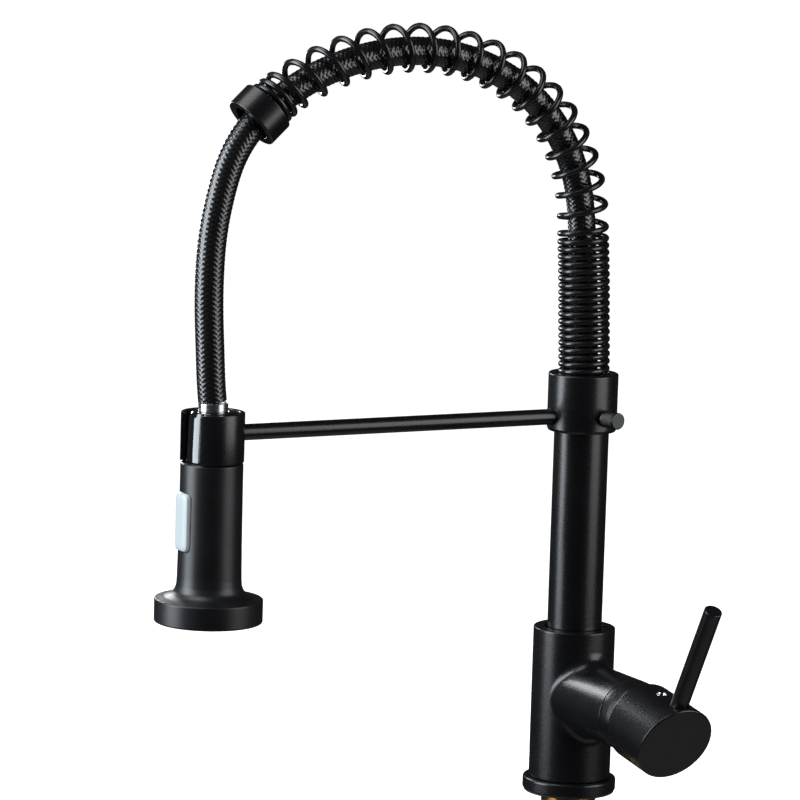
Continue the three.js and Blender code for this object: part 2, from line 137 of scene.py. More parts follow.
# Each corner of a closed outline gives way to an arc that touches both of its sides,
# with one more point on each side so that the flat stretch beside it shades flat. The arc takes at
# most the given share of a side.
def softened(corners, radius, steps=4, most=0.42, flat=1.3):
    p = np.array(corners, float)
    toBefore, toAfter = np.roll(p, 1, 0) - p, np.roll(p, -1, 0) - p
    longBefore = np.linalg.norm(toBefore, axis=1, keepdims=True)
    longAfter = np.linalg.norm(toAfter, axis=1, keepdims=True)
    u, v = toBefore / longBefore, toAfter / longAfter
    half = np.arccos(np.clip((u * v).sum(1, keepdims=True), -1, 1)) / 2
    wanted = np.broadcast_to(np.asarray(radius, float).reshape(-1, 1), half.shape)
    wanted = np.where(p[:, :1] < 1e-9, 0, wanted)  # a point on the axis stays sharp
    reach = np.minimum(wanted / np.tan(half), most * np.minimum(longBefore, longAfter))
    middle = u + v
    size = np.linalg.norm(middle, axis=1, keepdims=True)
    bent = size > 1e-6
    middle = np.where(bent, middle / np.where(bent, size, 1), 0)
    centre = p + middle * reach / np.cos(half)
    turn = np.maximum(np.pi - 2 * half, 1e-6)
    t = np.linspace(0, 1, steps + 1)[None, :, None]
    a, b = (p + u * reach - centre)[:, None], (p + v * reach - centre)[:, None]
    arc = centre[:, None] + swept(a, b, turn[:, None], t)
    ends = [(p + u * reach * flat)[:, None], arc, (p + v * reach * flat)[:, None]]
    return np.concatenate(ends, axis=1).reshape(-1, 2)


# An outline of (radius, height) carried round Z: x = r cos a, y = r sin a.
def turned(outline, sides=128):
    outline = np.asarray(outline, float)
    points = around(outline[:, 0], anglesOf(sides)[:, None], outline[:, 1])
    touches = outline[0, 0] < 1e-9 and outline[-1, 0] < 1e-9
    return gridOf(points, True, not touches)


# A pipe wall between two radii with softened edges.
def pipe(outer, inner, bottom, top, edge=0.4, sides=128):
    return turned(softened([(inner, bottom), (outer, bottom), (outer, top), (inner, top)], edge), sides)


# A solid rod with softened edges.
def rod(radius, bottom, top, edge=0.4, sides=64):
    return turned(softened([(0, bottom), (radius, bottom), (radius, top), (0, top)], edge), sides)


# Moves points by a 4 by 4 matrix.
def moved(shape, matrix):
    points, faces = shape
    m = np.array(matrix, float)
    return points @ m[:3, :3].T + m[:3, 3], faces


# Turns a shape drawn along Z so that it lies along a direction, then carries it to a place.
def laidAlong(shape, direction, place=(0, 0, 0)):
    turn = Vector((0, 0, 1)).rotation_difference(Vector(direction))
    return moved(shape, Matrix.Translation(place) @ turn.to_matrix().to_4x4())


# A smooth line through (y, z) points at x = 0, each coordinate a natural cubic over the chord length.
# Returns the places at even steps of that length, and the distance along the line at each.
def smoothLine(points, count=6000):
    p = np.insert(np.array(points, float), 0, 0, axis=1)
    knots = np.concatenate([[0], np.cumsum(np.linalg.norm(np.diff(p, axis=0), axis=1))])
    h = np.diff(knots)[:, None]
    n = len(p)
    system, right = np.zeros((n, n)), np.zeros_like(p)
    system[0, 0] = system[-1, -1] = 1
    inner = np.arange(1, n - 1)
    system[inner, inner - 1] = h[:-1, 0]
    system[inner, inner] = 2 * (h[:-1, 0] + h[1:, 0])
    system[inner, inner + 1] = h[1:, 0]
    slope = np.diff(p, axis=0) / h
    right[1:-1] = 6 * np.diff(slope, axis=0)
    bend = np.linalg.solve(system, right)
    t = np.linspace(0, knots[-1], count)
    k = np.clip(np.searchsorted(knots, t, side="right") - 1, 0, n - 2)
    a, b = (knots[k + 1] - t)[:, None], (t - knots[k])[:, None]
    step = h[k]
    line = bend[k] * a**3 / (6 * step) + bend[k + 1] * b**3 / (6 * step)
    line += (p[k] / step - bend[k] * step / 6) * a + (p[k + 1] / step - bend[k + 1] * step / 6) * b
    along = np.concatenate([[0], np.cumsum(np.linalg.norm(np.diff(line, axis=0), axis=1))])
    return line, along


# Reads a line at given distances: place, direction, the side direction +X, and the one square to both,
# which points to the hollow side of the arch.
def readLine(line, along, distances):
    slopes = np.gradient(line, along, axis=0)
    at, ahead = (np.stack([np.interp(distances, along, values[:, k]) for k in range(3)], axis=-1)
        for values in (line, slopes))
    ahead /= np.linalg.norm(ahead, axis=1, keepdims=True)
    side = np.broadcast_to([1.0, 0, 0], ahead.shape)
    hollow = np.cross(side, ahead)
    return at, ahead, side, hollow


# Fills a mesh from shapes, gives it its finish, hangs it under its body's empty and hides the CAD nodes it
# stands for.
def makePiece(name, shapes, finish, body=None, stands=(), sharp=32, merge=True):
    points = np.concatenate([s[0] for s in shapes]) * mm
    starts = np.cumsum([0] + [len(s[0]) for s in shapes[:-1]])
    faces = np.concatenate([s[1] + k for s, k in zip(shapes, starts)])
    mesh = bpy.data.meshes.new(name)
    mesh.vertices.add(len(points))
    mesh.vertices.foreach_set("co", points.astype(np.float32).ravel())
    mesh.loops.add(faces.size)
    mesh.loops.foreach_set("vertex_index", faces.astype(np.int32).ravel())
    mesh.polygons.add(len(faces))
    mesh.polygons.foreach_set("loop_start", np.arange(0, faces.size, 4, dtype=np.int32))
    mesh.polygons.foreach_set("loop_total", np.full(len(faces), 4, np.int32))
    mesh.update(calc_edges=True)
    piece = bpy.data.objects.new(name, mesh)
    bpy.context.scene.collection.objects.link(piece)
    if merge:
        tidied(piece)
    shaded(piece, sharp)
    mesh.materials.append(finish)
    if body:
        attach(piece, body)
    if stands:
        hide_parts(*stands)
    return piece


# Merges points that coincide, drops faces without area and turns all faces outwards.
def tidied(piece, weld=2e-6, sliver=1e-7):
    work = bmesh.new()
    work.from_mesh(piece.data)
    bmesh.ops.remove_doubles(work, verts=work.verts, dist=weld)
    bmesh.ops.dissolve_degenerate(work, edges=work.edges, dist=sliver)
    bmesh.ops.recalc_face_normals(work, faces=work.faces)
    work.to_mesh(piece.data)
    work.free()


# Smooth shading that breaks where two faces meet at more than sharp degrees.
def shaded(piece, sharp):
    piece.data.shade_smooth()
    piece.data.set_sharp_from_angle(angle=math.radians(sharp))


# Takes cutters out of a piece one by one and keeps the result as its mesh.
def cutAway(piece, cutters, sharp=32):
    for k, shape in enumerate(cutters):
        cutter = makePiece(f"cutter{k}", [shape], piece.data.materials[0])
        hollow = piece.modifiers.new("hollow", "BOOLEAN")
        hollow.operation, hollow.solver, hollow.object = "DIFFERENCE", "EXACT", cutter
        graph = bpy.context.evaluated_depsgraph_get()
        result = bpy.data.meshes.new_from_object(piece.evaluated_get(graph))
        piece.modifiers.clear()
        spent = [piece.data, cutter.data]
        piece.data = result
        bpy.data.objects.remove(cutter)
        for mesh in spent:
            bpy.data.meshes.remove(mesh)
    shaded(piece, sharp)
    return piece


# Lowest and highest corner of a CAD node, in millimetres.
def span(node):
    low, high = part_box(node)
    return np.array(low) / mm, np.array(high) / mm


def newFinish(name):
    finish = bpy.data.materials.new(name)
    finish.use_nodes = True
    tree = finish.node_tree
    shader = tree.nodes["Principled BSDF"]
    return finish, tree, shader


def link(tree, a, b):
    tree.links.new(a, b)


# A cloud of the given grain size in millimetres, read from Object coordinates, stretched if asked.
def cloud(tree, grain, detail=3, stretch=(1, 1, 1)):
    coords = tree.nodes.new("ShaderNodeTexCoord")
    place = tree.nodes.new("ShaderNodeMapping")
    place.inputs["Scale"].default_value = stretch
    noise = tree.nodes.new("ShaderNodeTexNoise")
    noise.inputs["Scale"].default_value = 1 / (grain * mm)
    noise.inputs["Detail"].default_value = detail
    link(tree, coords.outputs["Object"], place.inputs["Vector"])
    link(tree, place.outputs["Vector"], noise.inputs["Vector"])
    return noise.outputs["Fac"]


# Maps a cloud from its usual span to the given low and high value.
def ranged(tree, source, low, high, start=0.35, end=0.65):
    node = tree.nodes.new("ShaderNodeMapRange")
    for name, value in (("From Min", start), ("From Max", end), ("To Min", low), ("To Max", high)):
        node.inputs[name].default_value = value
    link(tree, source, node.inputs["Value"])
    return node.outputs["Result"]


# Blends two tones by a cloud.
def tinted(tree, source, dark, light, start=0.3, end=0.7):
    ramp = tree.nodes.new("ShaderNodeValToRGB")
    ramp.color_ramp.elements[0].position, ramp.color_ramp.elements[1].position = start, end
    ramp.color_ramp.elements[0].color = (*dark, 1)
    ramp.color_ramp.elements[1].color = (*light, 1)
    link(tree, source, ramp.inputs["Fac"])
    return ramp.outputs["Color"]


# Reads a cloud as a height in millimetres.
def bumped(tree, source, depth):
    bump = tree.nodes.new("ShaderNodeBump")
    bump.inputs["Distance"].default_value = depth * mm
    bump.inputs["Strength"].default_value = 1
    link(tree, source, bump.inputs["Height"])
    return bump.outputs["Normal"]


# One finish: two near tones, a roughness that wanders between two values, and a fine bump.
def finishOf(name, dark, light, rough, metallic=0, grain=0.5, depth=0.006, patch=14,
        stretch=(1, 1, 1), coat=0, coatRough=0.08):
    finish, tree, shader = newFinish(name)
    shader.inputs["Metallic"].default_value = metallic
    if coat:
        shader.inputs["Coat Weight"].default_value = coat
        shader.inputs["Coat Roughness"].default_value = coatRough
    wide = cloud(tree, patch, 3)
    fine = cloud(tree, grain, 2, stretch)
    link(tree, tinted(tree, wide, dark, light), shader.inputs["Base Color"])
    link(tree, ranged(tree, fine, rough[0], rough[1]), shader.inputs["Roughness"])
    link(tree, bumped(tree, fine, depth), shader.inputs["Normal"])
    finish.diffuse_color = (*light, 1)
    return finish


matteBlack = finishOf(
    "matteBlackCoat", (0.0035, 0.0036, 0.0045), (0.0065, 0.0067, 0.008), (0.26, 0.33),
    grain=0.55, depth=0.0015)
plasticBlack = finishOf(
    "blackAbsShell", (0.0045, 0.0047, 0.006), (0.008, 0.0083, 0.01),
    (0.34, 0.42), grain=0.4, depth=0.005)
glossBlack = finishOf(
    "glossBlackNeck", (0.005, 0.005, 0.006), (0.009, 0.009, 0.01), (0.06, 0.12),
    grain=1.6, depth=0.004, coat=0.5)
springBlack = finishOf(
    "blackSpringSteel", (0.006, 0.006, 0.007), (0.011, 0.011, 0.012), (0.2, 0.28),
    grain=0.8, depth=0.003, patch=9)
steel = finishOf(
    "brushedSteel", (0.5, 0.51, 0.52), (0.62, 0.63, 0.64), (0.2, 0.32), metallic=1, grain=0.35,
    depth=0.004, stretch=(0.2, 0.2, 3))
chrome = finishOf(
    "polishedChrome", (0.6, 0.61, 0.62), (0.7, 0.71, 0.72), (0.06, 0.11), metallic=1,
    grain=1.2, depth=0.001)
brass = finishOf(
    "machinedBrass", (0.42, 0.29, 0.12), (0.56, 0.4, 0.18), (0.24, 0.38), metallic=1,
    grain=0.3, depth=0.004, stretch=(0.3, 0.3, 3))
rubber = finishOf(
    "blackRubber", (0.01, 0.01, 0.01), (0.02, 0.02, 0.021), (0.68, 0.82), grain=0.6,
    depth=0.02)
greyPlastic = finishOf(
    "greyPlastic", (0.075, 0.078, 0.082), (0.1, 0.104, 0.11), (0.42, 0.52), grain=0.5,
    depth=0.006)
ceramic = finishOf(
    "sinteredCeramic", (0.72, 0.69, 0.63), (0.8, 0.78, 0.73), (0.14, 0.22), grain=0.3,
    depth=0.001)
silicone = finishOf(
    "greySilicone", (0.14, 0.145, 0.15), (0.19, 0.195, 0.2), (0.55, 0.68), grain=0.4,
    depth=0.006)
buttonGrey = finishOf(
    "paleGreyButton", (0.5, 0.55, 0.56), (0.57, 0.62, 0.63), (0.3, 0.38), grain=0.4,
    depth=0.003)
print("finishes made")

# The hose is one cord, from the connector in the column over the arch to the ferrule of the head.
hose = {
    "radius": 8.15, "weaveDepth": 0.42, "strands": 12, "pitch": 2.7, "around": 96, "fineStep": 0.5,
    "plainStep": 2.2,
    "shownFrom": 215,  # the distance along at which the spring opens and the hose can be seen
    "fadeIn": 4,  # the braid comes in over this stretch
    "pathPoints": 160, "blendSlope": 0.7, "blendShort": 2,
    "leavesCap": 514,  # the distance along at which the hose leaves the spring's end cap
    # the groove tone is painted shade for the hollows of the braid; the strand tone is the nylon's own
    "specular": 0.75, "rough": (0.20, 0.34), "paintedGrooveShade": (0.0012, 0.0012, 0.0014),
    "strand": (0.008, 0.008, 0.0092),
    "route": [
        (0, 100), (0, 150), (0, 194), (0, 238), (-0.1, 252.1),
        (-0.8, 272.1), (-1.8, 294), (-3.6, 317.9), (-5.4, 339.9), (-9.4, 361.2),
        (-17.8, 381.1), (-30.3, 398.8), (-46.2, 413.3), (-64.8, 424.3), (-85.2, 431.6),
        (-106.5, 435.4), (-128.3, 435.6), (-149.7, 432.3), (-170.5, 425.9), (-190.1, 416.7),
        (-204.7, 406.8), (-218.1, 394.9), (-229.5, 378.2), (-236.4, 357.8), (-240.6, 335.9),
        (-242.1, 314.1), (-242, 292.1), (-240.8, 270.2), (-239.4, 249.2), (-238.6, 241.8),
    ],
}


# Height of a plain braid, from 0 to 1: two families of strands cross at the diagonals a and b.
# Cells alternate like a chess board; in each, one strand lies on top, round across and humped along.
def braidHeight(around, along):
    a, b = around + along, around - along
    cellA, cellB = np.floor(a), np.floor(b)
    partA, partB = a - cellA, b - cellB
    firstOnTop = np.mod(cellA + cellB, 2) < 0.5
    across, lengthways = np.where(firstOnTop, partA, partB), np.where(firstOnTop, partB, partA)
    rounded = np.sqrt(np.clip(1 - (2 * across - 1) ** 2, 0, 1))
    return rounded * (0.45 + 0.55 * np.sin(np.pi * lengthways))


# The strands shine; the grooves between them are painted shade, a darker base colour where the weave is
# low.
# The weave's own height is read from an attribute, so the painted shade stays in the grooves however the
# hose bends.
def braidFinish(h):
    finish, tree, shader = newFinish("blackNylonBraid")
    shader.inputs["Specular IOR Level"].default_value = h["specular"]
    height = tree.nodes.new("ShaderNodeAttribute")
    height.attribute_name = "weave"
    # painted shade: the base colour falls from the strand tone to the groove tone where the weave is low
    link(tree, tinted(tree, height.outputs["Fac"], h["paintedGrooveShade"], h["strand"]), shader.inputs["Base Color"])
    link(tree, ranged(tree, cloud(tree, 0.6, 2), *h["rough"]), shader.inputs["Roughness"])
    finish.diffuse_color = (0.01, 0.01, 0.011, 1)
    return finish


# A tube round a line: centre + radius * (side cos a + hollow sin a), its radius less where the braid is
# low. Both ends close on the line.
def makeHose(h):
    line, along = smoothLine(h["route"])
    total = along[-1]
    plain = np.arange(0, h["shownFrom"], h["plainStep"])
    shown = np.arange(h["shownFrom"], total, h["fineStep"])
    s = np.concatenate([plain, shown, [total]])
    at, ahead, side, hollow = readLine(line, along, s)
    a = anglesOf(h["around"])
    weave = braidHeight(a[None, :] / (2 * np.pi) * h["strands"], s[:, None] / h["pitch"])
    visible = np.clip((s[:, None] - h["shownFrom"]) / h["fadeIn"], 0, 1)
    radius = (h["radius"] - h["weaveDepth"] * (1 - weave) * visible)[..., None]
    spokes = side[:, None] * np.cos(a)[:, None] + hollow[:, None] * np.sin(a)[:, None]
    shape = tubeOf(at, radius * spokes)
    piece = makePiece("sprayHose", [shape], braidFinish(h), None, ["spray_hose"], sharp=180, merge=False)
    heights = np.concatenate([weave[:1] * 0, weave, weave[:1] * 0])
    level = piece.data.attributes.new("weave", "FLOAT", "POINT")
    level.data.foreach_set("value", heights.astype(np.float32).ravel())
    tidied(piece)
    route = readLine(line, along, np.linspace(0, total, h["pathPoints"]))[0] * mm
    # the route at even steps, and the place where the hose leaves the spring's end cap
    start = readLine(line, along, np.array([h["leavesCap"]]))[0][0]
    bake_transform(piece)
    print("hose made,", round(total), "mm long")


makeHose(hose)


# Marks are pairs of turn and pitch, and of distance along and coil radius or lean; values between two
# marks are read off the straight line that joins them.
spring = {
    "wire": 1.8, "bottom": 246.3, "perTurn": 56, "sides": 12,
    "pitchMarks": [(0, 4.22), (19.3, 4.22), (20.6, 13.2), (37.3, 15.6), (38.9, 4.5), (42.5, 4.22)],
    "coilMarks": [(120, 13.3), (230, 12.35)],
    "leanMarks": [(60, 0), (95, 0.5), (140, 0.6), (200, 1.95), (226, 1.7), (257, 0.7), (287, -0.8),
        (318, -1.5), (350, -0.9), (362, 0)],
    "route": [
        (0, 238), (0, 252), (-0.5, 268), (-1.1, 280), (-1.7, 297),
        (-3.1, 320), (-4, 334), (-5.2, 347.8), (-9.9, 367.1), (-19.4, 387),
        (-33, 404.3), (-50, 418.1), (-69.4, 428.3), (-90.5, 434.7), (-112.4, 437.6),
        (-134.4, 436.8), (-156, 432.6), (-176.7, 425.3), (-196.2, 415.1), (-208.9, 405.6),
        (-219.3, 396.2),
    ],
}


# The wire's middle is axis + coil * (side cos t + hollow sin t) + lean * ahead sin t, with t falling as
# it climbs. The place along the axis is the sum of the pitch over the turns. The section is a circle,
# square to the wire: middle + wire * (inward cos w + across sin w).
def makeSpring(k):
    line, along = smoothLine(k["route"])
    marks = np.array(k["pitchMarks"])
    turns = np.linspace(0, marks[-1, 0], int(marks[-1, 0] * k["perTurn"]))
    pitch = np.interp(turns, marks[:, 0], marks[:, 1])
    climbed = np.concatenate([[0], np.cumsum((pitch[1:] + pitch[:-1]) / 2 * np.diff(turns))])
    place = k["bottom"] - k["route"][0][1] + climbed
    at, ahead, side, hollow = readLine(line, along, place)
    t = -2 * np.pi * turns[:, None]
    radial = side * np.cos(t) + hollow * np.sin(t)
    coil, lean = (np.interp(place, *zip(*k[name]))[:, None] for name in ("coilMarks", "leanMarks"))
    middle = at + coil * radial + lean * np.sin(t) * ahead
    forward = np.gradient(middle, axis=0)
    forward /= np.linalg.norm(forward, axis=1, keepdims=True)
    across = np.cross(forward, radial)
    across /= np.linalg.norm(across, axis=1, keepdims=True)
    inward = np.cross(across, forward)
    w = anglesOf(k["sides"])
    ring = inward[:, None] * np.cos(w)[:, None] + across[:, None] * np.sin(w)[:, None]
    shape = tubeOf(middle, k["wire"] * ring)
    makePiece("supportSpring", [shape], springBlack, "spout", ["support_spring"], sharp=60)
    return line, along


springLine, springAlong = makeSpring(spring)

endCap = {
    "radius": 16.3, "length": 14.5, "bore": 11.4, "seat": 14.9, "lip": 3.7,
    "rounds": [0.3, 0.9, 0.8, 0.7, 0.3, 0.3],
}


# A turned cup, laid along the spring's axis at its end: the coils sit in it and the hose leaves it.
def makeEndCap(k):
    outline = softened([(k["seat"], -k["length"]), (k["radius"], -k["length"]), (k["radius"], 0),
        (k["bore"], 0), (k["bore"], -k["lip"]), (k["seat"], -k["lip"])], k["rounds"], 5)
    at, ahead, side, hollow = readLine(springLine, springAlong, springAlong[-1:])
    shape = laidAlong(turned(outline), ahead[0], at[0])
    makePiece("springEndCap", [shape], matteBlack, "spout", ["spring_end_cap"])


makeEndCap(endCap)
print("spring and end cap made")


# The valve body is a post with a branch that leaves it through a rolled fillet.
body = {
    "post": 24, "branch": 21, "branchHeight": 58.6, "branchEnd": 67.4, "fillet": 7,
    "branchBore": 18.2, "boreEnd": 28, "topBore": 17.6, "topFloor": 80, "shankHole": 16.5,
    "shankRoof": 26.3, "edge": 0.7, "around": 168, "filletSteps": 15, "sheetSteps": 34,
    "sheetCrowding": 1.25,  # draws the sheet's rows together near the fillet
    "screwHole": 3.3, "screwDepth": 12, "screwPlace": (0, 17, 90),
}


# A ball of the fillet's radius rolls in the corner. At angle f round the branch its centre is at
# y = (r + q) cos f, z = (r + q) sin f, x = sqrt((R + q)^2 - y^2); it touches the post at R / (R + q)
# of its own x and y, and the branch at (x, r cos f, r sin f). The post is a sheet in angle and height
# with that hole in it, drawn as lines from the hole out to the sheet's edge.
def makeValveBody(k):
    low, high = span("valve_body")
    bottom, top = low[2], high[2]
    R, r, q, mid = k["post"], k["branch"], k["fillet"], k["branchHeight"]
    edge = k["edge"]
    upward, downward = top - edge - mid, mid - bottom - edge
    cornerUp, cornerDown = math.atan2(upward, math.pi * R), math.atan2(downward, math.pi * R)
    corners = [cornerUp, np.pi - cornerUp, np.pi + cornerDown, 2 * np.pi - cornerDown]
    f = np.sort(np.concatenate([anglesOf(k["around"]), corners]))
    y, z = (r + q) * np.cos(f), (r + q) * np.sin(f)
    x = np.sqrt((R + q) ** 2 - y**2)
    centre = np.stack([x, y, z + mid], axis=-1)
    onPost = np.stack([x * R / (R + q), y * R / (R + q), z + mid], axis=-1)
    onBranch = np.stack([x, r * np.cos(f), r * np.sin(f) + mid], axis=-1)
    # the fillet: directions from the ball's centre, turned evenly from one touch to the other
    u, v = (onPost - centre) / q, (onBranch - centre) / q
    angle = np.arccos(np.clip((u * v).sum(1), -1, 1))[:, None, None]
    t = np.linspace(0, 1, k["filletSteps"])[None, :, None]
    fillet = centre[:, None] + q * swept(u[:, None], v[:, None], angle, t)
    # the post: from the hole's edge to the sheet's edge along the same ray
    holeAngle, holeHeight = np.arctan2(onPost[:, 1], onPost[:, 0]), z
    c, s = np.cos(f), np.sin(f)
    toSide = math.pi * R / np.maximum(np.abs(c), 1e-9)
    toEnd = np.where(s > 0, upward, downward) / np.maximum(np.abs(s), 1e-9)
    reach = np.minimum(toSide, toEnd)
    edgeAngle, edgeHeight = reach * c / R, reach * s
    # rays along the sides land exactly on the seam, rays at the ends exactly on the rims
    edgeAngle = np.where(toSide <= toEnd + 1e-6, np.sign(c) * np.pi, edgeAngle)
    edgeHeight = np.where(toEnd <= toSide + 1e-6, np.where(s > 0, upward, -downward), edgeHeight)
    w = (np.linspace(0, 1, k["sheetSteps"]) ** k["sheetCrowding"])[None, :]
    sheetAngle = holeAngle[:, None] * (1 - w) + edgeAngle[:, None] * w
    sheetHeight = holeHeight[:, None] * (1 - w) + edgeHeight[:, None] * w + mid
    sheet = around(R, sheetAngle, sheetHeight)
    # the branch runs straight to its end, then in over the rim and down its bore
    rim = softened([(0, 0), (r, 0), (r, k["branchEnd"]), (k["branchBore"], k["branchEnd"]),
        (k["branchBore"], k["boreEnd"]), (0, k["boreEnd"])], [0, 0, 0.5, 0.4, 0.2, 0], 4)
    rim = rim[rim[:, 1] > r]  # without the lines that close it inside the post
    rim = rim[np.argmax(rim[:, 0] > r - 1e-6):]
    straight = x[:, None] + (rim[0, 1] - x[:, None]) * np.linspace(0, 1, 12)[None, 1:-1]
    grid = (len(f), len(rim))
    reachX = np.concatenate([straight, np.broadcast_to(rim[:, 1], grid)], axis=1)
    reachR = np.concatenate([np.full_like(straight, r), np.broadcast_to(rim[:, 0], grid)], axis=1)
    branch = np.stack([reachX, reachR * np.cos(f)[:, None], reachR * np.sin(f)[:, None] + mid], axis=-1)
    skin = np.concatenate([sheet[:, ::-1], fillet[:, 1:], branch], axis=1)
    shapes = [gridOf(skin, True)]
    # caps: the rim of the post rounds over, crosses to the bore and goes down to its floor
    for ends, sign, rimZ, bore, floor in ((upward, 1, top, k["topBore"], k["topFloor"]),
            (-downward, -1, bottom, k["shankHole"], k["shankRoof"])):
        turn = np.sort(edgeAngle[np.abs(edgeHeight - ends) < 1e-6])
        deep = rimZ - sign * 5
        outline = softened([(0, floor), (0, deep), (R, deep), (R, rimZ), (bore, rimZ), (bore, floor)],
            [0, 0, 0, edge, 0.5, 0.2], 5)
        first = np.argmax(np.abs(outline - np.array([R, rimZ - sign * edge])).sum(1) < 1e-6)
        outline = np.concatenate([outline[first:], [(0, floor)]])
        shapes.append(gridOf(around(outline[:, 0], turn[:, None], outline[:, 1])))
    piece = makePiece("valveBody", shapes, matteBlack, "base", ["valve_body"], sharp=38)
    screwHole = rod(k["screwHole"], 0, k["screwDepth"], 0)
    cutAway(piece, [laidAlong(screwHole, (0, 1, 0), k["screwPlace"])], 38)


makeValveBody(body)
print("valve body made")

clamp = {
    "ringBore": 16.8, "gasketBore": 17.2, "washerBore": 16.6, "shankBore": 13, "nutBore": 16.5,
    "nutCorner": 25, "threadPitch": 1.5, "threadDepth": 0.75, "sides": 80,
}


# The base ring, and the flat rings that clamp it to the deck from both sides.
def makeBase(k):
    low, high = span("base_ring")
    bore = k["ringBore"]
    outline = softened([(bore, low[2]), (high[0], low[2]), (high[0], high[2]), (bore, high[2])],
        [0.2, 0.5, 1.3, 0.2], 6)
    makePiece("baseRing", [turned(outline, 160)], matteBlack, "base", ["base_ring"])
    for name, node, finish, bore, edge in (
            ("baseGasket", "base_gasket", rubber, k["gasketBore"], 0.3),
            ("clampRubber", "clamp_rubber_washer", rubber, k["washerBore"], 0.35),
            ("clampSteel", "clamp_steel_washer", steel, k["washerBore"], 0.35)):
        low, high = span(node)
        makePiece(name, [pipe(high[0], bore, low[2], high[2], edge, 96)], finish, "base", [node])


# The thread is a rod whose radius falls by a wave of height and turn: r - d * wave(z / pitch - turn).
def makeShank(k):
    low, high = span("mounting_shank")
    outer, bore, sides = high[0], k["shankBore"], k["sides"]
    z = np.arange(low[2] + 1.0, high[2] - 4.0, k["threadPitch"] / 6)
    turn = np.arange(sides) / sides
    wave = np.abs(2 * np.mod(z[None, :] / k["threadPitch"] - turn[:, None], 1) - 1)
    wave = np.clip(1.5 * wave - 0.25, 0, 1)  # flat crests and roots
    ease = np.clip(np.minimum(z - z[0], z[-1] - z) / (1.5 * k["threadPitch"]), 0, 1)[None, :]
    outer -= 0.02
    r = outer - k["threadDepth"] * wave * ease
    bottom, top = low[2], high[2]
    tail = np.array([(outer, top - 3.5), (outer, top - 0.6), (outer - 0.58, top), (bore + 0.4, top),
        (bore, top - 0.4), (bore, bottom + 0.4), (bore + 0.4, bottom), (outer - 0.98, bottom)])
    radii = np.concatenate([r, np.broadcast_to(tail[:, 0], (sides, len(tail)))], axis=1)
    heights = np.concatenate([z, tail[:, 1]])[None, :]
    shape = gridOf(around(radii, turn[:, None] * 2 * np.pi, heights), True, True)
    makePiece("mountingShank", [shape], brass, "base", ["mounting_shank"], sharp=50)


# A hexagon whose corners are turned down: the section's radius at angle a is flat / cos(a to the flat's
# middle), and no more than a cone allows near both faces.
def makeNut(k):
    low, high = span("mounting_nut")
    sides, bore = 144, k["nutBore"]
    a, bottom, top = anglesOf(sides), low[2], high[2]
    flat = k["nutCorner"] * math.cos(math.pi / 6)
    side = np.mod(a, math.pi / 3) - math.pi / 6
    hexagon = np.minimum(flat / np.cos(side), k["nutCorner"] - 0.25)
    drop = np.array([0, 0.25, 0.6, 1.0, 1.5, 2.0])
    cone = flat - 0.6 + drop * 2.4
    outer = np.minimum(hexagon[:, None], np.concatenate([cone, cone[::-1]])[None, :])
    hole = np.array([(bore + 0.8, top), (bore, top - 0.8), (bore, bottom + 0.8), (bore + 0.8, bottom)])
    radii = np.concatenate([outer, np.broadcast_to(hole[:, 0], (sides, 4))], axis=1)
    z = np.concatenate([bottom + drop, (top - drop)[::-1], hole[:, 1]])
    shape = gridOf(around(radii, a[:, None], z), True, True)
    makePiece("mountingNut", [shape], brass, "base", ["mounting_nut"], sharp=24)


makeBase(clamp)
makeShank(clamp)
makeNut(clamp)
print("base made")

column = {
    "bore": 13.4, "collarInner": 15.6, "collarLower": 16.3, "collarFoot": 19.6, "play": 0.25,
    "thumbTurn": 10, "thumbFrom": 16.6, "thumbNeck": 2.3, "thumbHead": 4.9, "thumbStart": 20.9,
    "thumbEnd": 32.5, "thumbRings": 44, "knurls": 26, "knurlDepth": 0.22,
}


# The tube, the collar that steps in over the tube's end, the docking arm and the thumb screw.
def makeColumn(k):
    low, high = span("column_tube")
    tube = pipe(high[0], k["bore"], low[2], high[2], 0.4, 160)
    makePiece("columnTube", [tube], matteBlack, "spout", ["column_tube"])
    step = high[2] + 0.3
    low, high = span("arm_collar")
    outer = high[0]
    inner, lower, bottom, top = k["collarInner"], k["collarLower"], low[2], high[2]
    outline = [(lower, bottom), (k["collarFoot"], bottom), (outer, bottom + 1.6), (outer, top),
        (inner, top), (inner, step), (lower, step)]
    outline = softened(outline, [0.2, 0.5, 0.6, 0.9, 0.5, 0.2, 0.2], 5)
    collar = makePiece("armCollar", [turned(outline, 160)], matteBlack, "spout", ["arm_collar"])
    armLow, armHigh = span("docking_arm")
    armZ, armR = (armLow[2] + armHigh[2]) / 2, armHigh[0]
    thumbLow, thumbHigh = span("thumb_screw")
    thumbZ = (thumbLow[2] + thumbHigh[2]) / 2
    turn = Matrix.Rotation(math.radians(k["thumbTurn"]), 4, "Z")
    armHole = laidAlong(rod(armR + k["play"], 0, 12, 0), (0, -1, 0), (0, -17, armZ))
    screwHole = laidAlong(rod(k["thumbNeck"] + 0.3, 0, 12, 0), (1, 0, 0), (15.5, 0, thumbZ))
    cutAway(collar, [armHole, moved(screwHole, turn)])
    arm = laidAlong(rod(armR, 0, armHigh[1] - armLow[1], 0.4, 72), (0, -1, 0), (0, armHigh[1], armZ))
    makePiece("dockingArm", [arm], matteBlack, "spout", ["docking_arm"])
    makeThumbScrew(k, thumbZ, turn)


